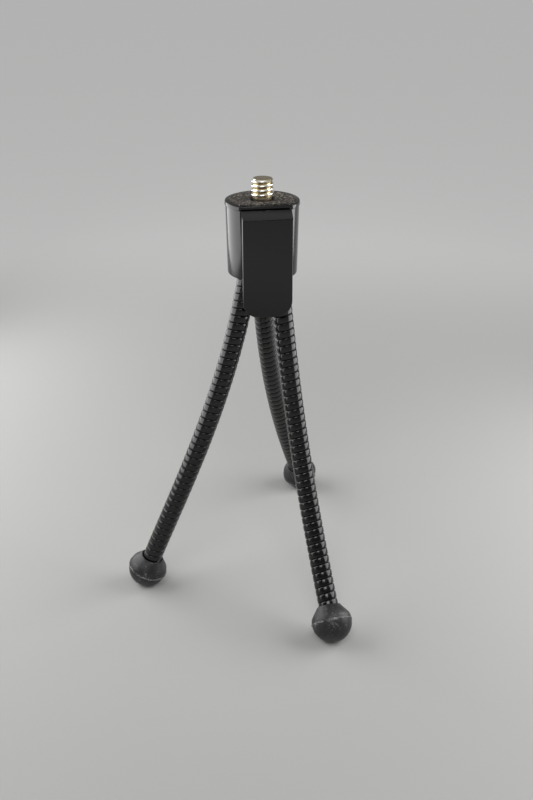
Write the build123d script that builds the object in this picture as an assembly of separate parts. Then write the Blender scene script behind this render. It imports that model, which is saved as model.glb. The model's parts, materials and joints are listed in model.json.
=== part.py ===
from build123d import *
from math import cos, radians, sin
import os

os.makedirs("parts", exist_ok=True)

# A pocket tripod: a small moulded head that carries a quarter inch camera screw
# through a grip pad, a sprung pocket clip on the head's flat, and three bendy
# gooseneck legs that end in rubber balls. Sizes are in millimetres.
# The floor is z = 0, the clip faces -Y, and the origin is on the floor in the
# middle of the footprint.

# Stance
STAND_HEIGHT = 120.9
LEG_CIRCLE_RADIUS = 4.9
LEG_ROOT_DROP = 20.0
STEPS_PER_TURN = 8
LEAN_TRIES = 40

# Each leg's place on the head's underside, the way it heads at its root and tip,
# and its lean from upright at root, middle and tip, in degrees, as it stands
LEGS = {
    "left": {"socket": -150, "heading": (-140, -198), "lean": (14.1, 21.7, 21.2), "turns_in_head": 4},
    "front": {"socket": -30, "heading": (-65, -83), "lean": (10.4, 21.9, 46.1), "turns_in_head": 2},
    "rear": {"socket": 90, "heading": (75, 55), "lean": (15.7, 26.6, 31.6), "turns_in_head": 2},
}

# Gooseneck: a wide flat-backed wire wound over a round wire core
TURN_PITCH = 2.15
TURNS_IN_ALL = 51
TURNS_IN_FOOT = 2
FIRM_TURNS = (2, 7, 8, 8)
BEND_TURNS = 4
GOOSENECK_RADIUS = 2.95
GROOVE_DEPTH = 0.42
SHOULDER_DROP = 0.08
BORE_RADIUS = 1.9
CORE_WIRE = 0.65
CORE_CLEARANCE = 0.08
RIB_SHARES = (0.0, 0.16, 0.5, 0.84)

# Head shell
HEAD_TOP_RADIUS = 10.65
HEAD_BOTTOM_RADIUS = 10.0
HEAD_HEIGHT = 21.1
FLAT_OFFSET = 7.5
WALL = 1.2
TOP_WALL = 1.8
LIP_HEIGHT = 1.2
LIP_STEP = 0.2
TOP_CHAMFER = 0.3
BOTTOM_FILLET = 1.5
RIM_WIDTH = 1.3
FLAT_RIM_WIDTH = 0.8
RECESS_DEPTH = 0.9
FIT_CLEARANCE = 0.08

# Grip pad
PAD_THICKNESS = 1.2
PAD_EDGE = 0.25
PAD_HOLE_RADIUS = 3.9

# Camera screw, 1/4"-20
SCREW_RADIUS = 3.175
THREAD_PITCH = 1.27
THREAD_DEPTH = 0.69
CREST_WIDTH = 0.3
SCREW_HEIGHT = 5.7
SCREW_TIP_CHAMFER = 0.35
NECK_HEIGHT = 0.8
NECK_RADIUS = 2.75
HEX_ACROSS_FLATS = 8.0
HEX_THICKNESS = 2.4
WASHER_RADIUS = 5.2
WASHER_THICKNESS = 0.6

# Pocket clip and its pivot
CLIP_WIDTH = 14.0
CLIP_THICKNESS = 2.0
CLIP_TOP_DROP = 1.2
CLIP_LENGTH = 30.1
CLIP_GAP = 2.2
SHOULDER_GAP = 1.0
UPPER_FACET_DROP = 0.77
LOWER_FACET_RUN = 1.6
LOWER_FACET_DROP = 1.05
CLIP_CORNER_RADIUS = 4.6
CLIP_EDGE = 0.3
SHOULDER_HEIGHT = 9.6
KNUCKLE_RADIUS = 1.5
KNUCKLE_WIDTH = 9.0
PIVOT_DROP = 8.6
PIVOT_INSET = 1.0
PIN_RADIUS = 0.75
PIN_LENGTH = 13.6
RUNNING_CLEARANCE = 0.05
WINDOW_CLEARANCE = 0.5
SPRING_WIDTH = 3.0
SPRING_WIRE = 0.45
SPRING_LEG = 3.2
SLOT_DEPTH = 0.5

# Leg block that closes the head
BLOCK_HEIGHT = 11.8
BLOCK_RELIEF = 3.2
POST_RADIUS = 4.3
HEX_POCKET_DEPTH = 1.2

# Rivets in the ends of the goosenecks
RIVET_HEAD_RADIUS = 2.6
RIVET_HEAD_THICKNESS = 0.9
RIVET_SHANK_LENGTH = 4.0
ANCHOR_RADIUS = 3.6
ANCHOR_THICKNESS = 1.0

# Rubber foot
FOOT_RADIUS = 5.9
FOOT_MOUTH_RADIUS = 3.4
FOOT_MOUTH_SHARE = 0.8
FOOT_CONE_RADIUS = 5.6
FOOT_CONE_SHARE = 0.3
RIDGE_HEIGHT = 0.2
RIDGE_WIDTH = 0.5

# Levels below the top of the pad, which is the zero of the head's own frame
RIM_LEVEL = RECESS_DEPTH - PAD_THICKNESS
CEILING_LEVEL = -PAD_THICKNESS - TOP_WALL
HEAD_FLOOR_LEVEL = RIM_LEVEL - HEAD_HEIGHT
BLOCK_TOP_LEVEL = HEAD_FLOOR_LEVEL + BLOCK_HEIGHT
HEX_TOP_LEVEL = CEILING_LEVEL - WASHER_THICKNESS
HEX_FLOOR_LEVEL = HEX_TOP_LEVEL - HEX_THICKNESS
PIVOT_Y = -FLAT_OFFSET + PIVOT_INSET
PIVOT_Z = -PIVOT_DROP
INNER_FLAT_OFFSET = FLAT_OFFSET - WALL
INSIDE_TOP_RADIUS = HEAD_TOP_RADIUS - LIP_STEP - WALL
INSIDE_BOTTOM_RADIUS = HEAD_BOTTOM_RADIUS - WALL


def exposed_turns(leg):
    return TURNS_IN_ALL - TURNS_IN_FOOT - LEGS[leg]["turns_in_head"]


def direction(leg, share, lean_factor):
    """The way the leg runs at a share of its route from the head to the ball's middle."""
    root_heading, tip_heading = LEGS[leg]["heading"]
    root, middle, tip = LEGS[leg]["lean"]
    share = min(max(share, 0), 1)
    heading = radians(root_heading + (tip_heading - root_heading) * share)
    lean = root * (1 - share) * (1 - 2 * share)
    lean += middle * 4 * share * (1 - share)
    lean += tip * share * (2 * share - 1)
    lean = radians(lean * lean_factor)
    return Vector(sin(lean) * cos(heading), sin(lean) * sin(heading), -cos(lean))


def socket_point(leg):
    angle = radians(LEGS[leg]["socket"])
    across = LEG_CIRCLE_RADIUS
    return Vector(across * cos(angle), across * sin(angle), STAND_HEIGHT - LEG_ROOT_DROP)


def route_length(leg):
    return exposed_turns(leg) * TURN_PITCH + FOOT_RADIUS * FOOT_MOUTH_SHARE


def route_points(leg, lean_factor):
    """Points along the leg's middle line, at an even step, from the head to the ball's middle."""
    steps = exposed_turns(leg) * STEPS_PER_TURN
    step = route_length(leg) / steps
    points = [socket_point(leg)]
    for n in range(steps):
        points.append(points[-1] + direction(leg, (n + 0.5) / steps, lean_factor) * step)
    return points


def standing_lean(leg):
    """How much to spread the leg so that its ball just rests on the floor."""
    low = 0.5
    high = 1.5
    for _ in range(LEAN_TRIES):
        middle = (low + high) / 2
        if route_points(leg, middle)[-1].Z > FOOT_RADIUS:
            high = middle
        else:
            low = middle
    return (low + high) / 2


LEAN_FACTORS = {leg: standing_lean(leg) for leg in LEGS}
ROUTES = {leg: route_points(leg, LEAN_FACTORS[leg]) for leg in LEGS}
FEET = {leg: ROUTES[leg][-1] for leg in LEGS}

# The footprint's middle becomes the origin
MIDDLE_X = (max(p.X for p in FEET.values()) + min(p.X for p in FEET.values())) / 2
MIDDLE_Y = (max(p.Y for p in FEET.values()) + min(p.Y for p in FEET.values())) / 2
HEAD_PLACE = Location((-MIDDLE_X, -MIDDLE_Y, STAND_HEIGHT))


def leg_plane(leg, distance):
    """The cross-section plane of a leg, its normal along the leg, at a distance below the head."""
    points = ROUTES[leg]
    step = route_length(leg) / (len(points) - 1)
    share = distance / route_length(leg)
    along = direction(leg, share, LEAN_FACTORS[leg])
    place = distance / step
    n = int(min(max(place, 0), len(points) - 2))
    if place < 0:
        spot = points[0] + along * distance
    elif place > len(points) - 1:
        spot = points[-1] + along * (distance - route_length(leg))
    else:
        spot = points[n] + (points[n + 1] - points[n]) * (place - n)
    spot = spot - Vector(MIDDLE_X, MIDDLE_Y, 0)
    steady = radians(sum(LEGS[leg]["heading"]) / 2 + 90)
    return Plane(origin=spot, x_dir=(cos(steady), sin(steady), 0), z_dir=along)


def turn_plane(leg, turn):
    return leg_plane(leg, turn * TURN_PITCH)


def tube_between(leg, radius, first_turn, last_turn):
    sections = [turn_plane(leg, n) * Circle(radius) for n in range(first_turn, last_turn + 1)]
    return loft(sections, ruled=True)


def winding(leg, first_turn, last_turn):
    """A stretch of the gooseneck's outer winding, one rounded rib for each turn, with its bore."""
    groove = GOOSENECK_RADIUS - GROOVE_DEPTH
    shoulder = GOOSENECK_RADIUS - SHOULDER_DROP
    rib_radii = (groove, shoulder, GOOSENECK_RADIUS, shoulder)
    sections = []
    for n in range(first_turn, last_turn):
        for share, radius in zip(RIB_SHARES, rib_radii):
            sections.append(turn_plane(leg, n + share) * Circle(radius))
    sections.append(turn_plane(leg, last_turn) * Circle(groove))
    return loft(sections, ruled=True) - tube_between(leg, BORE_RADIUS, first_turn, last_turn)


def core(leg, first_turn, last_turn):
    """The round wire core inside the winding, as a tube of the wire's thickness."""
    outer = BORE_RADIUS - CORE_CLEARANCE
    return tube_between(leg, outer, first_turn, last_turn) - tube_between(
        leg, outer - CORE_WIRE, first_turn, last_turn
    )


def firm_spans(leg):
    """First and last turn of each firm span; a bend lies between one and the next."""
    spans = []
    start = -LEGS[leg]["turns_in_head"]
    end = 0
    for turns in FIRM_TURNS:
        end += turns
        spans.append((start, end))
        start = end + BEND_TURNS
        end = start
    spans.append((start, exposed_turns(leg) + TURNS_IN_FOOT))
    return spans


def bend_spans(leg):
    spans = firm_spans(leg)
    return [(a[1], b[0]) for a, b in zip(spans, spans[1:])]


def turned(points):
    """A solid of revolution about Z from its half outline, given as radius and height."""
    return revolve(Plane.XZ * make_face(Polyline(*points, close=True)), Axis.Z)


def root_rivet(leg):
    """The rivet that stops the gooseneck from pulling out of the head. Its shank fills the core."""
    shank = BORE_RADIUS - CORE_CLEARANCE - CORE_WIRE - CORE_CLEARANCE
    head = Pos(0, 0, -RIVET_HEAD_THICKNESS / 2) * Cylinder(RIVET_HEAD_RADIUS, RIVET_HEAD_THICKNESS)
    stem = Pos(0, 0, RIVET_SHANK_LENGTH / 2) * Cylinder(shank, RIVET_SHANK_LENGTH)
    return turn_plane(leg, -LEGS[leg]["turns_in_head"]) * (head + stem)


def foot_anchor(leg):
    """The headed pin at the gooseneck's lower end that the rubber ball is moulded round."""
    shank = BORE_RADIUS - CORE_CLEARANCE - CORE_WIRE - CORE_CLEARANCE
    head = Pos(0, 0, ANCHOR_THICKNESS / 2) * Cylinder(ANCHOR_RADIUS, ANCHOR_THICKNESS)
    stem = Pos(0, 0, -RIVET_SHANK_LENGTH / 2) * Cylinder(shank, RIVET_SHANK_LENGTH)
    return turn_plane(leg, exposed_turns(leg) + TURNS_IN_FOOT) * (head + stem)


def foot(leg):
    """A rubber ball with a flat mouth, a slightly conical upper half and a parting ridge."""
    mouth_height = FOOT_RADIUS * FOOT_MOUTH_SHARE
    cone_height = FOOT_RADIUS * FOOT_CONE_SHARE
    half_ridge = RIDGE_WIDTH / 2
    upper = ((FOOT_RADIUS ** 2 - half_ridge ** 2) ** 0.5, half_ridge)
    lower = (upper[0], -half_ridge)
    ridge = FOOT_RADIUS + RIDGE_HEIGHT
    low_share = cos(radians(45))
    outline = [
        Line((0, mouth_height), (FOOT_MOUTH_RADIUS, mouth_height)),
        Line((FOOT_MOUTH_RADIUS, mouth_height), (FOOT_CONE_RADIUS, cone_height)),
        Line((FOOT_CONE_RADIUS, cone_height), upper),
        Polyline(upper, (ridge, half_ridge), (ridge, -half_ridge), lower),
        ThreePointArc(lower, (FOOT_RADIUS * low_share, -FOOT_RADIUS * low_share), (0, -FOOT_RADIUS)),
        Line((0, -FOOT_RADIUS), (0, mouth_height)),
    ]
    ball = revolve(Plane.XZ * make_face(outline), Axis.Z)
    middle = leg_plane(leg, route_length(leg))
    placed = Plane(origin=middle.origin, x_dir=middle.x_dir, z_dir=-middle.z_dir) * ball
    end = exposed_turns(leg) + TURNS_IN_FOOT
    hole = GOOSENECK_RADIUS + FIT_CLEARANCE
    bore = turn_plane(leg, end) * Pos(0, 0, (ANCHOR_THICKNESS - FOOT_RADIUS) / 2) * Cylinder(
        hole, FOOT_RADIUS + ANCHOR_THICKNESS
    )
    pocket = Pos(0, 0, ANCHOR_THICKNESS / 2) * Cylinder(ANCHOR_RADIUS, ANCHOR_THICKNESS)
    return placed - bore - turn_plane(leg, end) * pocket


def d_face(radius, flat):
    """A disc with its -Y side cut off flat."""
    return Circle(radius) & Pos(0, (radius - flat) / 2) * Rectangle(2 * radius, radius + flat)


def d_solid(bottom_radius, top_radius, flat, floor, ceiling):
    """A tapered round post between two levels, with its -Y side cut flat."""
    height = ceiling - floor
    post = Pos(0, 0, (floor + ceiling) / 2) * Cone(bottom_radius, top_radius, height)
    widest = max(bottom_radius, top_radius)
    keep = Box(2 * widest, widest + flat, height)
    return post & Pos(0, (widest - flat) / 2, (floor + ceiling) / 2) * keep


def knuckle_window():
    """The opening in the head's flat that the clip's knuckle swings in."""
    wide = KNUCKLE_WIDTH + 2 * WINDOW_CLEARANCE
    tall = 2 * (KNUCKLE_RADIUS + WINDOW_CLEARANCE)
    deep = WALL + KNUCKLE_RADIUS + WINDOW_CLEARANCE
    middle = -FLAT_OFFSET - WINDOW_CLEARANCE + deep / 2
    return Pos(0, middle, PIVOT_Z) * Box(wide, deep, tall)


def pivot_pin(radius, length):
    return Pos(0, PIVOT_Y, PIVOT_Z) * Rot(0, 90, 0) * Cylinder(radius, length)


def head_shell():
    """The moulded cap: a tapered D with a lip, a recess for the pad and cheeks for the clip's pin."""
    lip_floor = RIM_LEVEL - LIP_HEIGHT
    neck = HEAD_TOP_RADIUS - LIP_STEP
    outside = d_solid(HEAD_BOTTOM_RADIUS, neck, FLAT_OFFSET, HEAD_FLOOR_LEVEL, lip_floor)
    lip = extrude(Pos(0, 0, lip_floor) * d_face(HEAD_TOP_RADIUS, FLAT_OFFSET), LIP_HEIGHT)
    lip = chamfer(lip.faces().sort_by(Axis.Z)[-1].edges(), TOP_CHAMFER)
    body = fillet(outside.faces().sort_by(Axis.Z)[0].edges(), BOTTOM_FILLET) + lip
    inside = d_solid(
        INSIDE_BOTTOM_RADIUS, INSIDE_TOP_RADIUS, INNER_FLAT_OFFSET, HEAD_FLOOR_LEVEL, CEILING_LEVEL
    )
    recess_face = d_face(HEAD_TOP_RADIUS - RIM_WIDTH, FLAT_OFFSET - FLAT_RIM_WIDTH)
    recess = extrude(Pos(0, 0, -PAD_THICKNESS) * recess_face, PAD_THICKNESS)
    hole = Cylinder(SCREW_RADIUS + FIT_CLEARANCE, HEAD_HEIGHT)
    shell = body - inside - recess - Pos(0, 0, CEILING_LEVEL) * hole
    cheek_wide = (PIN_LENGTH - KNUCKLE_WIDTH) / 2 - WINDOW_CLEARANCE
    cheek_tall = 2 * KNUCKLE_RADIUS
    cheek_deep = KNUCKLE_RADIUS + PIVOT_INSET
    for side in (-1, 1):
        across = side * (KNUCKLE_WIDTH / 2 + WINDOW_CLEARANCE + cheek_wide / 2)
        cheek = Box(cheek_wide, cheek_deep, cheek_tall)
        shell = shell + (Pos(across, -FLAT_OFFSET + cheek_deep / 2, PIVOT_Z) * cheek & outside)
    return shell - knuckle_window() - pivot_pin(PIN_RADIUS, PIN_LENGTH)


def grip_pad():
    """A cork and rubber disc in the head's recess, a little proud of the rim."""
    radius = HEAD_TOP_RADIUS - RIM_WIDTH - FIT_CLEARANCE
    flat = FLAT_OFFSET - FLAT_RIM_WIDTH - FIT_CLEARANCE
    pad = extrude(Pos(0, 0, -PAD_THICKNESS) * d_face(radius, flat), PAD_THICKNESS)
    pad = pad - Pos(0, 0, -PAD_THICKNESS / 2) * Cylinder(PAD_HOLE_RADIUS, PAD_THICKNESS)
    return chamfer(pad.faces().sort_by(Axis.Z)[-1].outer_wire().edges(), PAD_EDGE)


def thread_groove():
    """The helical V that is cut into the shank."""
    start = NECK_HEIGHT
    height = SCREW_HEIGHT - start + THREAD_PITCH
    half = (THREAD_PITCH - CREST_WIDTH) / 2
    path = Pos(0, 0, start) * Helix(THREAD_PITCH, height, SCREW_RADIUS)
    mouth = half * (1 + FIT_CLEARANCE / THREAD_DEPTH)
    profile = Plane(origin=path @ 0, x_dir=(1, 0, 0), z_dir=path % 0) * make_face(
        Polyline((-THREAD_DEPTH, 0), (FIT_CLEARANCE, -mouth), (FIT_CLEARANCE, mouth), close=True)
    )
    return sweep(profile, path=path, is_frenet=True)


def camera_screw():
    """The quarter inch screw, with a plain neck at the pad and a hexagonal head inside."""
    shank_top = SCREW_HEIGHT - SCREW_TIP_CHAMFER
    shank = turned(
        [
            (0, HEX_TOP_LEVEL),
            (SCREW_RADIUS, HEX_TOP_LEVEL),
            (SCREW_RADIUS, -PAD_THICKNESS),
            (NECK_RADIUS, -PAD_THICKNESS),
            (NECK_RADIUS, NECK_HEIGHT),
            (SCREW_RADIUS, NECK_HEIGHT),
            (SCREW_RADIUS, shank_top),
            (SCREW_RADIUS - SCREW_TIP_CHAMFER, SCREW_HEIGHT),
            (0, SCREW_HEIGHT),
        ]
    )
    corner = HEX_ACROSS_FLATS / 2 / cos(radians(30))
    hexagon = Pos(0, 0, HEX_FLOOR_LEVEL) * RegularPolygon(corner, 6)
    return shank - thread_groove() + extrude(hexagon, HEX_THICKNESS)


def screw_washer():
    hole = Cylinder(SCREW_RADIUS + FIT_CLEARANCE, WASHER_THICKNESS)
    ring = Cylinder(WASHER_RADIUS, WASHER_THICKNESS) - hole
    return Pos(0, 0, CEILING_LEVEL - WASHER_THICKNESS / 2) * ring


def slot_floor():
    """How far the slot for the spring is cut into the back of the clip's shoulder."""
    return -FLAT_OFFSET - SHOULDER_GAP - SLOT_DEPTH


def pocket_clip():
    """A flat blade that hangs from a sloped shoulder, with a knuckle on its back for the pivot."""
    top = -CLIP_TOP_DROP
    back = -FLAT_OFFSET - CLIP_GAP
    face = back - CLIP_THICKNESS
    shoulder_back = -FLAT_OFFSET - SHOULDER_GAP
    facet_end = face + LOWER_FACET_RUN
    floor = top - CLIP_LENGTH
    shoulder_floor = top - SHOULDER_HEIGHT
    side = [
        (shoulder_back, top),
        (facet_end, top - UPPER_FACET_DROP),
        (face, top - UPPER_FACET_DROP - LOWER_FACET_DROP),
        (face, floor),
        (back, floor),
        (back, shoulder_floor - CLIP_GAP + SHOULDER_GAP),
        (shoulder_back, shoulder_floor),
    ]
    outline = Plane.YZ * make_face(Polyline(*side, close=True))
    blade = extrude(outline, CLIP_WIDTH / 2, both=True)
    low = blade.edges().filter_by(Axis.Y).group_by(Axis.Z)[0]
    blade = fillet(low, CLIP_CORNER_RADIUS)
    front = blade.faces().filter_by(Axis.Y).sort_by(Axis.Y)[0]
    blade = chamfer(front.edges(), CLIP_EDGE)
    knuckle = pivot_pin(KNUCKLE_RADIUS, KNUCKLE_WIDTH)
    reach = PIVOT_Y - shoulder_back
    web = Pos(0, shoulder_back + reach / 2, PIVOT_Z) * Box(KNUCKLE_WIDTH, reach, 2 * KNUCKLE_RADIUS)
    slot_deep = PIVOT_Y + KNUCKLE_RADIUS - slot_floor()
    slot = Box(SPRING_WIDTH + 2 * WINDOW_CLEARANCE, slot_deep, 3 * KNUCKLE_RADIUS)
    slot = Pos(0, slot_floor() + slot_deep / 2, PIVOT_Z) * slot
    hole = pivot_pin(PIN_RADIUS + RUNNING_CLEARANCE, KNUCKLE_WIDTH)
    return blade + (knuckle + web) - slot - hole


def clip_spring():
    """A torsion spring on the pin. One arm bears on the head's wall, the other on the clip."""
    inner = PIN_RADIUS + RUNNING_CLEARANCE
    outer = inner + SPRING_WIRE
    coil = pivot_pin(outer, SPRING_WIDTH) - pivot_pin(inner, SPRING_WIDTH)
    side = (SPRING_WIDTH - SPRING_WIRE) / 2
    wall_y = -INNER_FLAT_OFFSET + SPRING_WIRE / 2
    down = Pos(-side, wall_y, PIVOT_Z - SPRING_LEG / 2) * Box(SPRING_WIRE, SPRING_WIRE, SPRING_LEG)
    reach = PIVOT_Y - slot_floor()
    out = Box(SPRING_WIRE, reach, SPRING_WIRE)
    out = Pos(side, PIVOT_Y - reach / 2, PIVOT_Z + outer - SPRING_WIRE / 2) * out
    cut = pivot_pin(inner, SPRING_WIDTH)
    return coil + (down + out - cut)


def leg_block():
    """The plug that closes the head: three sockets for the legs and a post that locks the screw."""
    inside_slope = (INSIDE_TOP_RADIUS - INSIDE_BOTTOM_RADIUS) / (CEILING_LEVEL - HEAD_FLOOR_LEVEL)
    bottom = INSIDE_BOTTOM_RADIUS - FIT_CLEARANCE
    top = bottom + inside_slope * BLOCK_HEIGHT
    flat = INNER_FLAT_OFFSET - FIT_CLEARANCE
    block = d_solid(bottom, top, flat, HEAD_FLOOR_LEVEL, BLOCK_TOP_LEVEL)
    relief = PIVOT_Y + KNUCKLE_RADIUS + WINDOW_CLEARANCE
    cut = Box(2 * HEAD_TOP_RADIUS, FLAT_OFFSET + relief, BLOCK_RELIEF)
    block = block - Pos(0, (relief - FLAT_OFFSET) / 2, BLOCK_TOP_LEVEL - BLOCK_RELIEF / 2) * cut
    post_top = HEX_FLOOR_LEVEL + HEX_POCKET_DEPTH
    post_tall = post_top - BLOCK_TOP_LEVEL
    post = Cylinder(POST_RADIUS + 2 * WALL, post_tall)
    keep = Box(2 * POST_RADIUS + 4 * WALL, POST_RADIUS + 2 * WALL + POST_RADIUS, post_tall)
    post = post & Pos(0, WALL, 0) * keep
    block = block + Pos(0, 0, BLOCK_TOP_LEVEL + post_tall / 2) * post
    corner = (HEX_ACROSS_FLATS / 2 + FIT_CLEARANCE) / cos(radians(30))
    pocket = extrude(Pos(0, 0, HEX_FLOOR_LEVEL) * RegularPolygon(corner, 6), HEX_POCKET_DEPTH)
    block = HEAD_PLACE * (block - pocket)
    for leg in LEGS:
        depth = LEGS[leg]["turns_in_head"] * TURN_PITCH
        reach = depth + FOOT_RADIUS
        socket = Pos(0, 0, (FOOT_RADIUS - depth) / 2) * Cylinder(GOOSENECK_RADIUS + FIT_CLEARANCE, reach)
        seat = Pos(0, 0, -depth - RIVET_HEAD_THICKNESS / 2) * Cylinder(
            RIVET_HEAD_RADIUS + FIT_CLEARANCE, RIVET_HEAD_THICKNESS
        )
        block = block - leg_plane(leg, 0) * (socket + seat)
    return block


def write(name, shape):
    shape.label = name
    export_step(shape, f"parts/{name}.step")


def write_head():
    write("head_shell", HEAD_PLACE * head_shell())
    write("grip_pad", HEAD_PLACE * grip_pad())
    write("camera_screw", HEAD_PLACE * camera_screw())
    write("screw_washer", HEAD_PLACE * screw_washer())
    write("pocket_clip", HEAD_PLACE * pocket_clip())
    write("clip_pin", HEAD_PLACE * pivot_pin(PIN_RADIUS, PIN_LENGTH))
    write("clip_spring", HEAD_PLACE * clip_spring())
    write("leg_block", leg_block())


def write_leg(leg):
    for n, (first, last) in enumerate(firm_spans(leg)):
        write(f"{leg}_winding_{n}", winding(leg, first, last))
        write(f"{leg}_core_{n}", core(leg, first, last))
    for n, (first, last) in enumerate(bend_spans(leg), start=1):
        write(f"{leg}_bend_{n}", winding(leg, first, last))
    write(f"{leg}_root_rivet", root_rivet(leg))
    write(f"{leg}_foot_anchor", foot_anchor(leg))
    write(f"{leg}_foot", foot(leg))


write_head()
for name in LEGS:
    write_leg(name)
for name, spot in FEET.items():
    print(name, "ball", spot - Vector(MIDDLE_X, MIDDLE_Y, 0), "lean factor", LEAN_FACTORS[name])
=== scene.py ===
import bmesh
import bpy
import json
from math import cos, pi, radians, sin
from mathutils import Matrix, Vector


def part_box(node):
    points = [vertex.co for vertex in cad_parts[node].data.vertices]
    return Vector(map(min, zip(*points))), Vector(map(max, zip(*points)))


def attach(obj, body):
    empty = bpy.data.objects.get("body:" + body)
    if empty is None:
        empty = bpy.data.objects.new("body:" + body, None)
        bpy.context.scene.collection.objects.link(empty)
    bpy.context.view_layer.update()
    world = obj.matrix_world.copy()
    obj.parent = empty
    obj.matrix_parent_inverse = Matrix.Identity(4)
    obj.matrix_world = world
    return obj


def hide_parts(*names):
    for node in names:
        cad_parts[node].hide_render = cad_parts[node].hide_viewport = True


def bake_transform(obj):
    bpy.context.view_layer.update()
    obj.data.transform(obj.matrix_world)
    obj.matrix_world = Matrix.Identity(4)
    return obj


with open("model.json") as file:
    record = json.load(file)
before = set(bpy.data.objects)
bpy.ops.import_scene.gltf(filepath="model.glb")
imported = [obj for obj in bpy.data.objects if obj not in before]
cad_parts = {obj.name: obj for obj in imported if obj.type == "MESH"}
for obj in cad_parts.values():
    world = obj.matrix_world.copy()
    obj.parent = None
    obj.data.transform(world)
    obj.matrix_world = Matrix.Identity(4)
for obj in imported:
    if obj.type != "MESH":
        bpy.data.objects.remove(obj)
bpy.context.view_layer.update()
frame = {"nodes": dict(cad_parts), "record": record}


# The view. The camera stands 0.3 m from the head, a little to the left of the
# clip, and looks down on the tripod at 25 degrees, as in the photograph.
mm = 0.001
screw_mount = next(m for m in frame["record"]["mounts"] if m["name"] == "camera_screw")
axis_x, axis_y = screw_mount["pos_m"][:2]
lens_left, lens_forward, lens_height = 39.2 * mm, 287.5 * mm, 196.6 * mm
look_down, look_right = 25.5, 8
bpy.ops.object.select_all(action="DESELECT")
bpy.ops.object.camera_add(
    location=(axis_x - lens_left, axis_y - lens_forward, lens_height),
    rotation=(radians(90 - look_down), 0, -radians(look_right)),
)
camera = bpy.context.object
camera.data.lens = 47.25
camera.data.clip_start = 0.01
bpy.context.scene.camera = camera
bpy.context.scene.view_settings.view_transform = "Standard"


# Head shell. A gloss black ABS cap, injection moulded in one piece: a tapered
# barrel with one side flat for the clip, a proud lip at the top, and a D-shaped
# recess in the lip that takes the grip pad. Inside it is hollow.
def colour(code):
    """An sRGB hex code as Blender's linear colour."""
    parts = [int(code[n:n + 2], 16) / 255 for n in (1, 3, 5)]
    return [c / 12.92 if c <= 0.04045 else ((c + 0.055) / 1.055) ** 2.4 for c in parts] + [1]


def add_node(owner, kind, inputs=None, **settings):
    """One node of a material or the world: its settings, and a value or a socket for each input."""
    tree = owner.node_tree
    made = tree.nodes.new(kind)
    for key, value in settings.items():
        setattr(made, key, value)
    for key, value in (inputs or {}).items():
        if isinstance(value, bpy.types.NodeSocket):
            tree.links.new(value, made.inputs[key])
        else:
            made.inputs[key].default_value = value
    return made


def new_material(name, base, roughness, metallic=0.0, ior=1.5):
    """A material whose shader starts from a plain colour, roughness, metallic and IOR."""
    material = bpy.data.materials.new(name)
    material.use_nodes = True
    shader = material.node_tree.nodes["Principled BSDF"]
    shader.inputs["Base Color"].default_value = colour(base)
    shader.inputs["Roughness"].default_value = roughness
    shader.inputs["Metallic"].default_value = metallic
    shader.inputs["IOR"].default_value = ior
    return material, shader


def feed(shader, sockets):
    """Links a shader's inputs, by their names, to the sockets that feed them."""
    for key, socket in sockets.items():
        shader.id_data.links.new(socket, shader.inputs[key])


def graded(ramp_node, stops):
    """Gives a colour ramp its stops, which are pairs of a position and a linear colour."""
    ramp = ramp_node.color_ramp.elements
    for end, (position, shade) in ((0, stops[0]), (1, stops[-1])):
        ramp[end].position, ramp[end].color = position, shade
    for position, shade in stops[1:-1]:
        ramp.new(position).color = shade


def drawn(name, points, closed=False):
    """A wire drawn through given points: one vertex, extruded from point to point. It is left in
    edit mode.
    """
    bpy.ops.object.select_all(action="DESELECT")
    bpy.ops.mesh.primitive_plane_add(size=1 * mm)
    piece = bpy.context.object
    piece.name = piece.data.name = name
    bpy.ops.object.mode_set(mode="EDIT")
    bpy.ops.mesh.select_mode(type="VERT")
    bpy.ops.mesh.select_all(action="SELECT")
    bpy.ops.mesh.merge(type="CENTER")
    bpy.ops.transform.translate(value=points[0])
    for here, there in zip(points, points[1:]):
        step = Vector(there) - Vector(here)
        bpy.ops.mesh.extrude_region_move(TRANSFORM_OT_translate={"value": step})
    bpy.ops.mesh.select_all(action="SELECT")
    if closed:
        bpy.ops.mesh.edge_face_add()
    return piece


def spun(name, outline, sides=96):
    """A turned solid: an outline of (radius, height) in millimetres, spun round the Z axis."""
    piece = drawn(name, [(radius * mm, 0, height * mm) for radius, height in outline])
    bpy.ops.mesh.spin(steps=sides, angle=2 * pi, center=(0, 0, 0), axis=(0, 0, 1))
    bpy.ops.mesh.select_all(action="SELECT")
    bpy.ops.mesh.remove_doubles(threshold=0.005 * mm)
    bpy.ops.mesh.dissolve_limited(angle_limit=radians(0.3))
    bpy.ops.mesh.normals_make_consistent(inside=False)
    bpy.ops.object.mode_set(mode="OBJECT")
    return piece


def take_up(piece):
    """Selects this piece alone and makes it the active one."""
    bpy.ops.object.select_all(action="DESELECT")
    piece.select_set(True)
    bpy.context.view_layer.objects.active = piece


def sawn(piece, place, normal):
    """Saws off what lies past a plane, place in millimetres, and closes the cut."""
    take_up(piece)
    bpy.ops.object.mode_set(mode="EDIT")
    bpy.ops.mesh.select_all(action="SELECT")
    bpy.ops.mesh.bisect(
        plane_co=Vector(place) * mm, plane_no=normal,
        use_fill=True, clear_outer=True, threshold=0.0002 * mm,
    )
    bpy.ops.object.mode_set(mode="OBJECT")
    return piece


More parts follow.
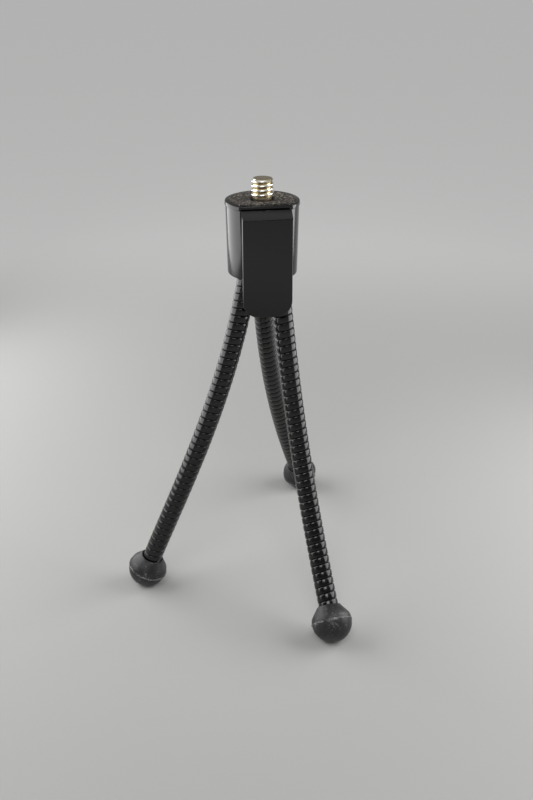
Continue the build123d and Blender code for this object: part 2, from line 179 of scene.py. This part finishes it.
def round_edges(piece, width, segments, low, high, sharper=30):
    """Rounds the edges in a box from low to high, in millimetres, past an angle in degrees."""
    take_up(piece)
    bpy.ops.object.mode_set(mode="EDIT")
    bpy.ops.mesh.select_mode(type="EDGE")
    bpy.ops.mesh.select_all(action="DESELECT")
    shape = bmesh.from_edit_mesh(piece.data)
    for edge in shape.edges:
        inside = all(
            low[n] * mm <= corner.co[n] <= high[n] * mm
            for corner in edge.verts for n in range(3)
        )
        if inside and len(edge.link_faces) == 2 and edge.calc_face_angle() > radians(sharper):
            edge.select = True
    shape.select_flush(True)
    bmesh.update_edit_mesh(piece.data)
    bpy.ops.mesh.bevel(offset=width * mm, segments=segments, affect="EDGES", clamp_overlap=True)
    bpy.ops.object.mode_set(mode="OBJECT")


def combine(piece, tool, how):
    """Cuts a tool out of the piece, welds it on or keeps what they share. The tool is used up."""
    take_up(piece)
    step = piece.modifiers.new("combine", "BOOLEAN")
    step.operation = how
    step.solver = "EXACT"
    step.object = tool
    bpy.ops.object.modifier_apply(modifier=step.name)
    bpy.data.objects.remove(tool)


def brick(low, high):
    """A box between two corners, in millimetres."""
    bpy.ops.object.select_all(action="DESELECT")
    low, high = Vector(low), Vector(high)
    bpy.ops.mesh.primitive_cube_add(
        size=1, location=(low + high) / 2 * mm, scale=(high - low) * mm
    )
    bpy.ops.object.transform_apply(location=True, rotation=True, scale=True)
    return bpy.context.object


def rod(radius, length, place, sides=48):
    """A round bar across the head, along X, in millimetres."""
    bpy.ops.object.select_all(action="DESELECT")
    bpy.ops.mesh.primitive_cylinder_add(
        vertices=sides, radius=radius * mm, depth=length * mm,
        location=Vector(place) * mm, rotation=(0, pi / 2, 0),
    )
    bpy.ops.object.transform_apply(location=True, rotation=True, scale=True)
    return bpy.context.object


def finish_piece(piece, name, material, place=(0, 0, 0)):
    """Names a piece, puts its place in its mesh, smooths it and gives it its finish."""
    piece.name = piece.data.name = name
    take_up(piece)
    piece.location = place
    bpy.ops.object.transform_apply(location=True, rotation=True, scale=True)
    bpy.ops.object.shade_smooth_by_angle(angle=radians(32))
    piece.data.materials.clear()
    piece.data.materials.append(material)


# Gloss ABS straight from a polished mould: near black, so the eye sees little but
# the soft lamps in it. How sharp they are changes a little over 4.5 mm, and the
# skin has a faint orange peel of 1.1 mm.
gloss_abs, shader = new_material("gloss black ABS", "#070708", 0.14, ior=1.47)
where = add_node(gloss_abs, "ShaderNodeTexCoord")
haze = add_node(
    gloss_abs, "ShaderNodeTexNoise",
    {"Vector": where.outputs["Object"], "Scale": 220.0, "Detail": 3.0},
)
haze_range = add_node(
    gloss_abs, "ShaderNodeMapRange",
    {
        "Value": haze.outputs["Fac"],
        "From Min": 0.3, "From Max": 0.7, "To Min": 0.11, "To Max": 0.19,
    },
)
skin = add_node(
    gloss_abs, "ShaderNodeTexNoise",
    {"Vector": where.outputs["Object"], "Scale": 900.0, "Detail": 2.0},
)
skin_bump = add_node(
    gloss_abs, "ShaderNodeBump",
    {"Height": skin.outputs["Fac"], "Strength": 0.06, "Distance": 0.02 * mm},
)
feed(shader, {"Roughness": haze_range.outputs["Result"], "Normal": skin_bump.outputs["Normal"]})

# The head's pieces are made round the screw's axis, with heights from the pad's
# top. To find the edges to round, a box reaches wide past the head, or stays near.
head_place = Vector((axis_x, axis_y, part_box("grip_pad")[1].z))
wide, near = 20, 0.02
rim, recess_floor, lip_floor, ceiling, floor = -0.3, -1.2, -1.5, -3.0, -21.4
flat, to_front, round_sides = 7.5, (0, -1, 0), 144
barrel = [
    (0, floor), (10.0, floor), (10.42, lip_floor),
    (10.6, lip_floor + 0.1), (10.65, lip_floor + 0.3), (10.53, rim), (0, rim),
]
shell = sawn(spun("shell", barrel, round_sides), (0, -flat, 0), to_front)
bottom_round, rim_round, flat_round = 1.5, 0.18, 0.22
round_edges(shell, bottom_round, 8, (-wide, -wide, floor - near), (wide, wide, floor + near))
round_edges(shell, rim_round, 3, (-wide, -wide, rim - near), (wide, wide, rim + near))
round_edges(
    shell, flat_round, 3, (-wide, -flat - near, floor + 1), (wide, -flat + near, rim - 0.2)
)
cavity_mouth, cavity_top, flat_wall = 8.78, 9.25, 1.2
cavity = [(0, floor - 1), (cavity_mouth, floor - 1), (cavity_top, ceiling), (0, ceiling)]
cavity_tool = sawn(spun("cavity", cavity), (0, -flat + flat_wall, 0), to_front)
combine(shell, cavity_tool, "DIFFERENCE")
recess_radius, recess_wall = 9.35, 0.8
recess = [(0, recess_floor), (recess_radius, recess_floor), (recess_radius, 0.5), (0, 0.5)]
recess_tool = sawn(spun("recess", recess, round_sides), (0, -flat + recess_wall, 0), to_front)
combine(shell, recess_tool, "DIFFERENCE")
screw_hole = 3.255
combine(shell, spun("hole", [(0, -4), (screw_hole, -4), (screw_hole, 0), (0, 0)]), "DIFFERENCE")

# Two cheeks inside the flat hold the clip's pin, and between them is a window
# for the clip's knuckle.
pivot = (0, -6.5, -8.6)
pin_radius, pin_length = 0.75, 13.6
cheek_place, cheek_half = 5.9, 0.8
cheek_front, cheek_back, cheek_bottom, cheek_top = -7.4, -5.0, -10.1, -7.1
for side in (-1, 1):
    middle = side * cheek_place
    cheek_low = (middle - cheek_half, cheek_front, cheek_bottom)
    cheek_high = (middle + cheek_half, cheek_back, cheek_top)
    combine(shell, brick(cheek_low, cheek_high), "UNION")
window = brick((-5, -8, -10.6), (5, -4.8, -6.6))
combine(shell, window, "DIFFERENCE")
combine(shell, rod(pin_radius, pin_length, pivot), "DIFFERENCE")
finish_piece(shell, "head_cap", gloss_abs, head_place)
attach(shell, "head")
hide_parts("head_shell")


# Grip pad. A disc of cork crumbs bonded in black rubber, stamped out in a D and
# glued into the recess a little proud of the rim, with a hole round the screw.

# Cork and rubber: a matt dark ground with pale crumbs 0.35 mm across, one pixel
# in the photograph, and a grain of 0.2 mm between them.
cork_rubber, shader = new_material("cork and rubber", "#26221f", 0.85)
where = add_node(cork_rubber, "ShaderNodeTexCoord")
crumbs = add_node(
    cork_rubber, "ShaderNodeTexVoronoi",
    {"Vector": where.outputs["Object"], "Scale": 2900.0, "Randomness": 1.0},
)
crumb_tone = add_node(cork_rubber, "ShaderNodeSeparateColor", {"Color": crumbs.outputs["Color"]})
tone = add_node(cork_rubber, "ShaderNodeValToRGB", {"Fac": crumb_tone.outputs["Red"]})
tone.color_ramp.interpolation = "CONSTANT"
graded(tone, [
    (0, colour("#1b1918")), (0.34, colour("#2e2a27")), (0.6, colour("#45403a")),
    (0.78, colour("#6c6459")), (0.93, colour("#a39a8b")),
])
grain = add_node(
    cork_rubber, "ShaderNodeTexNoise",
    {"Vector": where.outputs["Object"], "Scale": 5000.0, "Detail": 2.0},
)
relief = add_node(
    cork_rubber, "ShaderNodeMath",
    {0: crumbs.outputs["Distance"], 1: grain.outputs["Fac"]}, operation="ADD",
)
relief_bump = add_node(
    cork_rubber, "ShaderNodeBump",
    {"Height": relief.outputs["Value"], "Strength": 0.7, "Distance": 0.12 * mm},
)
feed(shader, {"Base Color": tone.outputs["Color"], "Normal": relief_bump.outputs["Normal"]})

pad_hole, pad_radius, pad_flat, pad_round = 3.7, 9.27, 6.62, 0.25
pad_section = [
    (pad_hole, recess_floor), (pad_radius, recess_floor), (pad_radius, 0), (pad_hole, 0),
    (pad_hole, recess_floor),
]
pad = sawn(spun("pad", pad_section, round_sides), (0, -pad_flat, 0), to_front)
round_edges(pad, pad_round, 3, (-wide, -wide, -near), (wide, wide, near))
finish_piece(pad, "grip_pad_cork", cork_rubber, head_place)
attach(pad, "head")
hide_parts("grip_pad")


# Camera screw. A quarter inch screw with a rolled thread, plated pale gold. Its
# hexagonal head is trapped under the ceiling of the shell, with a steel washer.

# Pale gold plating: nearly white crests, and brown roots that are painted shade
# in the hollows of the thread. A film is patchy over 1.1 mm, and the sawn end of
# the screw is made darker by a set amount.
plated, shader = new_material("pale gold plating on brass", "#fbf7ea", 0.16, metallic=1.0)
where = add_node(plated, "ShaderNodeTexCoord")
film = add_node(
    plated, "ShaderNodeTexNoise",
    {"Vector": where.outputs["Object"], "Scale": 900.0, "Detail": 4.0},
)
depth = add_node(plated, "ShaderNodeAttribute", attribute_name="root_shade_and_dark_end")
# Patchy film, plus the painted shade in the thread's roots and the darker sawn end.
film_and_darkening = add_node(
    plated, "ShaderNodeMath",
    {0: film.outputs["Fac"], 1: 0.35, 2: depth.outputs["Fac"]}, operation="MULTIPLY_ADD",
)
plating_tone = add_node(plated, "ShaderNodeValToRGB", {"Fac": film_and_darkening.outputs["Value"]})
# The brown end of this ramp is the painted shade in the roots of the thread.
graded(plating_tone, [
    (0.3, colour("#fcf9f0")), (0.55, colour("#e6d7b2")), (0.95, colour("#4a3824")),
])
dull_range = add_node(
    plated, "ShaderNodeMapRange",
    {"Value": film_and_darkening.outputs["Value"], "From Min": 0.2, "To Min": 0.12, "To Max": 0.4},
)
feed(shader, {
    "Base Color": plating_tone.outputs["Color"], "Roughness": dull_range.outputs["Result"],
})


def wound(name, outline, pitch, turns, steps):
    """A helical surface: an outline of (radius, height) one pitch tall, wound up the Z axis."""
    piece = drawn(name, [(radius * mm, 0, height * mm) for radius, height in outline])
    bpy.ops.object.mode_set(mode="OBJECT")
    take_up(piece)
    winder = piece.modifiers.new("winder", "SCREW")
    winder.axis = "Z"
    winder.angle = 2 * pi
    winder.screw_offset = pitch * mm
    winder.iterations = turns
    winder.steps = winder.render_steps = steps
    bpy.ops.object.modifier_apply(modifier=winder.name)
    bpy.ops.object.mode_set(mode="EDIT")
    bpy.ops.mesh.select_all(action="SELECT")
    bpy.ops.mesh.remove_doubles(threshold=0.002 * mm)
    bpy.ops.object.mode_set(mode="OBJECT")
    return piece


def turn_outwards(piece):
    """Turns all faces of a closed piece outwards."""
    take_up(piece)
    bpy.ops.object.mode_set(mode="EDIT")
    bpy.ops.mesh.select_all(action="SELECT")
    bpy.ops.mesh.normals_make_consistent(inside=False)
    bpy.ops.object.mode_set(mode="OBJECT")


# One turn of the thread from flank to flank, with a rounded crest and root. The
# blank tapers its upper end, and below the thread the shank runs to the hexagon.
screw_pitch, first_turn, screw_sides = 1.27, 0.39, 64
thread_start, screw_top, up, down = 0.83, 5.7, (0, 0, 1), (0, 0, -1)
thread_outline = [
    (3.05, 0), (3.13, 0.03), (3.165, 0.09), (3.175, 0.14), (3.165, 0.2), (3.135, 0.26),
    (3.09, 0.32), (3.03, 0.37), (2.55, 0.7), (2.49, 0.8), (2.55, 0.92), (3.05, screw_pitch),
]
thread_outline = [(r, z - screw_pitch + first_turn) for r, z in thread_outline]
thread = wound("thread", thread_outline, screw_pitch, 7, screw_sides)
sawn(thread, (0, 0, thread_start), down)
sawn(thread, (0, 0, screw_top), up)
turn_outwards(thread)
blank_outline = [(0, 0.5), (3.6, 0.5), (3.6, 4.925), (2.825, screw_top), (2.6, 6.2), (0, 6.2)]
combine(thread, spun("blank", blank_outline, screw_sides), "INTERSECT")
shank_outline = [(0, -3.7), (3.175, -3.7), (3.175, -1.2), (2.75, -1.2), (2.75, 0.9), (0, 0.9)]
combine(thread, spun("shank", shank_outline, screw_sides), "UNION")
hexagon_radius, hexagon_height, hexagon_middle, hexagon_round = 4.619, 2.4, -4.8, 0.2
bpy.ops.object.select_all(action="DESELECT")
bpy.ops.mesh.primitive_cylinder_add(
    vertices=6, radius=hexagon_radius * mm, depth=hexagon_height * mm,
    location=(0, 0, hexagon_middle * mm), rotation=(0, 0, pi / 6),
)
bpy.ops.object.transform_apply(location=True, rotation=True, scale=True)
hexagon = bpy.context.object
round_edges(hexagon, hexagon_round, 2, (-wide, -wide, -wide), (wide, wide, 0))
combine(thread, hexagon, "UNION")

# How much shade is painted into each point of the thread: none on the crests,
# more the deeper it lies in the roots, and a set darkening on the sawn end. The
# plating above reads this attribute.
unshaded_radius, root_shade_span, most_root_shade, end_darkening = 3.1, 0.5, 0.66, 0.5
roots_low, roots_high, end_low = 0.85, 5.3, 5.65
root_shade_and_dark_end = thread.data.attributes.new("root_shade_and_dark_end", "FLOAT", "POINT")
for corner in thread.data.vertices:
    height = corner.co.z / mm
    reach = Vector(corner.co[:2]).length / mm
    darkening = 0.0
    if roots_low < height < roots_high:
        darkening = most_root_shade * min(1, max(0, (unshaded_radius - reach) / root_shade_span))
    elif height > end_low:
        darkening = end_darkening
    root_shade_and_dark_end.data[corner.index].value = darkening
finish_piece(thread, "quarter_inch_screw", plated, head_place)
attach(thread, "head")
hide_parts("camera_screw")


# Pocket clip. A gloss ABS blade that hangs down the flat side from a sloped
# shoulder. A knuckle on its back swings on the pin, against a torsion spring.
clip_top, clip_end, clip_half, corner_radius = -1.2, -31.3, 7, 4.6
clip_face, clip_back, shoulder_back = -11.7, -9.7, -8.5
clip_side = [
    (shoulder_back, clip_top), (clip_face + 1.6, clip_top - 0.77), (clip_face, clip_top - 1.82),
    (clip_face, clip_end), (clip_back, clip_end), (clip_back, clip_top - 10.8),
    (shoulder_back, clip_top - 9.6),
]
clip = drawn("clip", [(-clip_half * mm, y * mm, z * mm) for y, z in clip_side], closed=True)
bpy.ops.mesh.extrude_region_move(TRANSFORM_OT_translate={"value": (2 * clip_half * mm, 0, 0)})
bpy.ops.mesh.select_all(action="SELECT")
bpy.ops.mesh.normals_make_consistent(inside=False)
bpy.ops.object.mode_set(mode="OBJECT")
for side in (-clip_half, clip_half):
    low_corner = (side - near, clip_face - near, clip_end - near)
    high_corner = (side + near, clip_back + near, clip_end + near)
    round_edges(clip, corner_radius, 14, low_corner, high_corner)
front_round, back_round, facets_end, below = 0.4, 0.12, clip_face + 1.7, clip_end - 1
front_low, front_high = (-wide, clip_face - near, below), (wide, facets_end, 0)
round_edges(clip, front_round, 4, front_low, front_high, sharper=14)
round_edges(clip, back_round, 2, (-wide, facets_end, below), (wide, 0, 0), sharper=40)

# The knuckle is a barrel round the pin and the block that joins it to the blade,
# with a slot for the spring's coil and a bore for the pin.
knuckle_radius, knuckle_length, bore_radius = 1.5, 9, 0.8
combine(clip, rod(knuckle_radius, knuckle_length, pivot), "UNION")
knuckle_block = brick((-4.5, -8.7, -10.1), (4.5, -6.5, -7.1))
combine(clip, knuckle_block, "UNION")
spring_slot = brick((-2, -9.15, -11.1), (2, -4.0, -6.2))
combine(clip, spring_slot, "DIFFERENCE")
combine(clip, rod(bore_radius, knuckle_length + 1, pivot), "DIFFERENCE")
finish_piece(clip, "clip_blade", gloss_abs, head_place)
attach(clip, "clip")
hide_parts("pocket_clip")


# Goosenecks. Flat steel wire wound edge to edge over a round wire core, then
# coated gloss black. Each leg is one winding, cut here where its bends end. Every
# length but the last stays fixed where it is made, and the last goes with the leg's last body.

# Gloss black lacquer on steel: the lamps draw a broken line of bright patches
# down each side, one patch a turn. Handling has made patches of 1.4 mm duller.
coated_wire, shader = new_material("gloss black coating on wound steel", "#070606", 0.16, ior=1.47)
where = add_node(coated_wire, "ShaderNodeTexCoord")
rub = add_node(
    coated_wire, "ShaderNodeTexNoise",
    {"Vector": where.outputs["Object"], "Scale": 700.0, "Detail": 3.0},
)
rub_range = add_node(
    coated_wire, "ShaderNodeMapRange",
    {
        "Value": rub.outputs["Fac"],
        "From Min": 0.3, "From Max": 0.7, "To Min": 0.13, "To Max": 0.2,
    },
)
feed(shader, {"Roughness": rub_range.outputs["Result"]})

# Where each leg's socket is on its circle, which way the leg heads at its root
# and tip, how far it leans from the vertical at its root, middle and tip, all in
# degrees, and how many turns are hidden in the block.
legs = {
    "left": {
        "socket": -150, "heading": (-140, -198), "lean": (14.1603, 21.7929, 21.2907), "hidden": 4,
    },
    "front": {
        "socket": -30, "heading": (-65, -83), "lean": (10.4135, 21.9285, 46.1599), "hidden": 2,
    },
    "rear": {
        "socket": 90, "heading": (75, 55), "lean": (15.7407, 26.6690, 31.6820), "hidden": 2,
    },
}


def leg_direction(leg, share):
    """The way a leg runs at a share of its length, as a unit vector."""
    start, end = leg["heading"]
    heading = radians(start + (end - start) * share)
    root, middle, tip = leg["lean"]
    lean = radians(
        root * (1 - share) * (1 - 2 * share)
        + middle * 4 * share * (1 - share)
        + tip * share * (2 * share - 1)
    )
    return Vector((sin(lean) * cos(heading), sin(lean) * sin(heading), -cos(lean)))


# One rib across the wire, as radius and share of a turn: a groove, a shoulder
# and an almost flat back.
rib = [
    (2.56, 0), (2.60, 0.02), (2.76, 0.045), (2.84, 0.075), (2.89, 0.12), (2.92, 0.2),
    (2.94, 0.33), (2.95, 0.5), (2.94, 0.67), (2.92, 0.8), (2.89, 0.88), (2.84, 0.925),
    (2.76, 0.955), (2.60, 0.98), (2.56, 1),
]
turn_pitch, turns_to_ball, turns_in_ball, spare_turns, bend_turns = 2.15, 49, 2, 2, 4
socket_circle, socket_height, mouth_height = 4.9, -20.0, 4.72
first_cuts, off_groove, steps_a_turn = (6, 17, 29, 41), 0.013, 8
rib_outline = [(radius, (share - 1) * turn_pitch) for radius, share in rib]
wound_turns, winding_sides = turns_to_ball + turns_in_ball + spare_turns, 32
winding = wound("winding", rib_outline, turn_pitch, wound_turns, winding_sides)
foot_places = {}
for name, leg in legs.items():
    # The leg's middle line, from just inside the block to the ball's middle.
    seen_turns = turns_to_ball - leg["hidden"]
    steps = seen_turns * steps_a_turn
    step = (seen_turns * turn_pitch + mouth_height) / steps
    socket = radians(leg["socket"])
    on_circle = Vector((socket_circle * cos(socket), socket_circle * sin(socket), socket_height))
    spot = head_place + on_circle * mm
    line = [spot]
    for n in range(steps):
        spot = spot + leg_direction(leg, (n + 0.5) / steps) * (step * mm)
        line.append(spot)
    foot_places[name] = (spot, leg_direction(leg, 1))
    root = line[0] - leg_direction(leg, 0) * (leg["hidden"] * turn_pitch * mm)

    # A guide curve along that line, from the leg's root deep in the block.
    guide_data = bpy.data.curves.new("guide", "CURVE")
    guide_data.dimensions = "3D"
    guide_data.twist_mode = "MINIMUM"
    spline = guide_data.splines.new("POLY")
    spline.points.add(len(line))
    for point, place in zip(spline.points, [root] + line):
        point.co = (*place, 1)
    guide = bpy.data.objects.new("guide", guide_data)
    bpy.context.scene.collection.objects.link(guide)

    # Each length is sawn from the straight winding, just off a groove, and bent
    # along the guide.
    cuts = (-leg["hidden"], *first_cuts, seen_turns + turns_in_ball)
    for n, (first, last) in enumerate(zip(cuts, cuts[1:])):
        piece = winding.copy()
        piece.data = winding.data.copy()
        bpy.context.scene.collection.objects.link(piece)
        sawn(piece, (0, 0, (first + leg["hidden"] + off_groove) * turn_pitch), down)
        sawn(piece, (0, 0, (last + leg["hidden"] + off_groove) * turn_pitch), up)
        turn_outwards(piece)
        follow = piece.modifiers.new("follow", "CURVE")
        follow.object = guide
        follow.deform_axis = "POS_Z"
        bpy.ops.object.modifier_apply(modifier=follow.name)
        finish_piece(piece, f"{name}_gooseneck_{n + 1}", coated_wire)
        if n < len(first_cuts):
            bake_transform(piece)
            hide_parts(f"{name}_winding_{n}", f"{name}_bend_{n + 1}")
        else:
            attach(piece, f"{name}_leg_4")
            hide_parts(f"{name}_winding_4")
    bpy.data.objects.remove(guide)
bpy.data.objects.remove(winding)


# Feet. Solid balls of soft black rubber moulded over the headed pins at the
# goosenecks' ends. The mould left a raised parting line round the middle, and
# they are dusty from standing on things.

# Moulded rubber: a broad soft sheen, a paler band along the parting line and
# scattered grains of dust that look pale against the black.
rubber, shader = new_material("moulded black rubber", "#1a1a1b", 0.5)
where = add_node(rubber, "ShaderNodeTexCoord")
height = add_node(rubber, "ShaderNodeAttribute", attribute_name="height_mm")
from_ridge = add_node(rubber, "ShaderNodeMath", {0: height.outputs["Fac"]}, operation="ABSOLUTE")
# A paler band along the parting line, fading within half a millimetre of it.
near_ridge = add_node(
    rubber, "ShaderNodeMapRange",
    {
        "Value": from_ridge.outputs["Value"],
        "From Min": 0.15, "From Max": 0.5, "To Min": 0.17, "To Max": 0.0,
    },
)
# Grains of dust 0.3 mm apart, and patches 2.4 mm apart that are rubbed clean.
grains = add_node(
    rubber, "ShaderNodeTexNoise",
    {"Vector": where.outputs["Object"], "Scale": 3200.0, "Detail": 3.0},
)
patches = add_node(
    rubber, "ShaderNodeTexNoise",
    {"Vector": where.outputs["Object"], "Scale": 420.0, "Detail": 3.0},
)
patchy = add_node(
    rubber, "ShaderNodeMath",
    {0: patches.outputs["Fac"], 1: 0.45, 2: grains.outputs["Fac"]}, operation="MULTIPLY_ADD",
)
dust_and_ridge_band = add_node(
    rubber, "ShaderNodeMath",
    {0: patchy.outputs["Value"], 1: near_ridge.outputs["Result"]}, operation="ADD",
)
pale = add_node(
    rubber, "ShaderNodeMapRange",
    {"Value": dust_and_ridge_band.outputs["Value"], "From Min": 0.77, "From Max": 1.04},
)
rubber_tone = add_node(rubber, "ShaderNodeValToRGB", {"Fac": pale.outputs["Result"]})
graded(rubber_tone, [(0, colour("#161617")), (0.35, colour("#333334")), (1, colour("#9c9c9b"))])
rubber_rough = add_node(
    rubber, "ShaderNodeMapRange",
    {"Value": pale.outputs["Result"], "To Min": 0.4, "To Max": 0.9},
)
grain_bump = add_node(
    rubber, "ShaderNodeBump",
    {"Height": grains.outputs["Fac"], "Strength": 0.5, "Distance": 0.08 * mm},
)
feed(shader, {
    "Base Color": rubber_tone.outputs["Color"],
    "Roughness": rubber_rough.outputs["Result"],
    "Normal": grain_bump.outputs["Normal"],
})

# The ball's outline from its lowest point up: the round half, the ridge, the
# upper half that narrows to the leg, and the mouth that the gooseneck ends in.
ball = 5.9
round_half = [(ball * sin(radians(a)), -ball * cos(radians(a))) for a in range(6, 87, 5)]
ridge = [(5.895, -0.25), (6.06, -0.18), (6.1, 0), (6.06, 0.18), (5.895, 0.25)]
upper_half = [(5.87, 0.8), (5.6, 1.77), (4.9, 2.75), (4.15, 3.7), (3.6, 4.45), (3.45, 4.68)]
mouth = [(3.2, mouth_height), (3.03, 4.62), (3.03, 2.0), (0, 2.0)]
foot_blank = spun("foot", [(0, -ball)] + round_half + ridge + upper_half + mouth)
heights = foot_blank.data.attributes.new("height_mm", "FLOAT", "POINT")
for corner in foot_blank.data.vertices:
    heights.data[corner.index].value = corner.co.z / mm
for name, (spot, along) in foot_places.items():
    foot = foot_blank.copy()
    foot.data = foot_blank.data.copy()
    bpy.context.scene.collection.objects.link(foot)
    foot.rotation_euler = (-along).to_track_quat("Z", "Y").to_euler()
    finish_piece(foot, f"{name}_ball", rubber, spot)
    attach(foot, f"{name}_leg_4")
    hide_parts(f"{name}_foot")
bpy.data.objects.remove(foot_blank)


# What holds it together. The moulded block that closes the head and grips the
# goosenecks, the steel pin, spring and washer, and the cores, rivets and headed
# pins inside the legs. They keep the shapes that the frame gives them.

# Textured moulding: a dull sheen from a spark-eroded mould with a 0.4 mm grain.
block_plastic, shader = new_material("textured black moulding", "#101011", 0.5)
where = add_node(block_plastic, "ShaderNodeTexCoord")
spark = add_node(
    block_plastic, "ShaderNodeTexNoise",
    {"Vector": where.outputs["Object"], "Scale": 2500.0, "Detail": 2.0},
)
spark_bump = add_node(
    block_plastic, "ShaderNodeBump",
    {"Height": spark.outputs["Fac"], "Strength": 0.4, "Distance": 0.03 * mm},
)
feed(shader, {"Normal": spark_bump.outputs["Normal"]})

# Drawn steel: a grey shine that the die has made uneven over 0.8 mm.
drawn_steel, shader = new_material("drawn steel", "#9a9a9c", 0.35, metallic=1.0)
where = add_node(drawn_steel, "ShaderNodeTexCoord")
draw_marks = add_node(
    drawn_steel, "ShaderNodeTexNoise",
    {"Vector": where.outputs["Object"], "Scale": 1200.0, "Detail": 3.0},
)
mark_range = add_node(
    drawn_steel, "ShaderNodeMapRange",
    {
        "Value": draw_marks.outputs["Fac"],
        "From Min": 0.3, "From Max": 0.7, "To Min": 0.28, "To Max": 0.45,
    },
)
feed(shader, {"Roughness": mark_range.outputs["Result"]})

for name, part in frame["nodes"].items():
    if not part.hide_render:
        part.data.materials.clear()
        part.data.materials.append(block_plastic if name == "leg_block" else drawn_steel)


# Studio. A pale matt sweep for a floor, a soft lamp close on each side and one
# in front and above, and a plain background that only the camera and
# reflections see. Its lengths are in metres.
def seen_directly(owner):
    """1 for rays from the camera, reflections and clear surfaces, and 0 for the light they cast."""
    rays = add_node(owner, "ShaderNodeLightPath")
    seen = rays.outputs["Is Camera Ray"]
    for kind in ("Is Glossy Ray", "Is Transmission Ray"):
        either = {0: seen, 1: rays.outputs[kind]}
        seen = add_node(owner, "ShaderNodeMath", either, operation="MAXIMUM").outputs["Value"]
    return seen


# Away from the tripod, where the lamps don't reach, the floor glows a little by
# itself, so that it is even up to the horizon.
backdrop_white = colour("#f4f4f4")
floor_paint, shader = new_material("pale matt sweep", "#ababa9", 0.9)
where = add_node(floor_paint, "ShaderNodeTexCoord")
away = add_node(
    floor_paint, "ShaderNodeVectorMath", {"Vector": where.outputs["Object"]}, operation="LENGTH"
)
far = add_node(
    floor_paint, "ShaderNodeMapRange",
    {
        "Value": away.outputs["Value"],
        "From Min": 0.08, "From Max": 0.38, "To Min": 0.0, "To Max": 0.37,
    },
    interpolation_type="SMOOTHSTEP",
)
glow = add_node(
    floor_paint, "ShaderNodeMath",
    {0: far.outputs["Result"], 1: seen_directly(floor_paint)}, operation="MULTIPLY",
)
shader.inputs["Emission Color"].default_value = backdrop_white
feed(shader, {"Emission Strength": glow.outputs["Value"]})
sweep_width = 6
bpy.ops.object.select_all(action="DESELECT")
bpy.ops.mesh.primitive_plane_add(size=sweep_width)
sweep = bpy.context.object
sweep.name = "sweep"
sweep.data.materials.append(floor_paint)


def soft_lamp(name, place, target, width, height, power):
    """A softbox: a rectangular lamp that faces a point of the scene."""
    bpy.ops.object.select_all(action="DESELECT")
    bpy.ops.object.light_add(type="AREA", location=place)
    lamp = bpy.context.object
    lamp.name = name
    lamp.data.shape = "RECTANGLE"
    lamp.data.size = width
    lamp.data.size_y = height
    lamp.data.energy = power
    lamp.visible_camera = False
    aim = Vector(target) - Vector(place)
    lamp.rotation_euler = aim.to_track_quat("-Z", "Y").to_euler()


soft_lamp(
    "left_softbox", place=(axis_x - 0.165, axis_y + 0.075, 0.15),
    target=(axis_x, axis_y + 0.031, 0.145), width=0.3, height=0.25, power=0.66,
)
soft_lamp(
    "right_softbox", place=(0.2, -0.022, 0.155),
    target=(0, -0.015, 0.15), width=0.2, height=0.25, power=0.58,
)
soft_lamp(
    "front_softbox", place=(-0.1, -0.5, 0.7),
    target=(axis_x, axis_y, 0.1), width=0.4, height=0.3, power=2.0,
)

# The background's strength from the horizon, where it meets the floor, to
# straight above. What falls on the tripod is the same from all sides.
strengths = ((0, 0.52), (0.25, 0.28), (0.5, 0.12), (0.75, 0.3), (1, 0.9))
fill_strength = 0.25
world = bpy.data.worlds.new("studio")
bpy.context.scene.world = world
world.use_nodes = True
where = add_node(world, "ShaderNodeTexCoord")
way = add_node(world, "ShaderNodeSeparateXYZ", {"Vector": where.outputs["Generated"]})
wall = add_node(world, "ShaderNodeValToRGB", {"Fac": way.outputs["Z"]})
graded(wall, [(rise, (strength, strength, strength, 1)) for rise, strength in strengths])
level = add_node(
    world, "ShaderNodeMix",
    {"Factor": seen_directly(world), "A": fill_strength, "B": wall.outputs["Color"]},
)
background = world.node_tree.nodes["Background"]
background.inputs["Color"].default_value = backdrop_white
feed(background, {"Strength": level.outputs["Result"]})
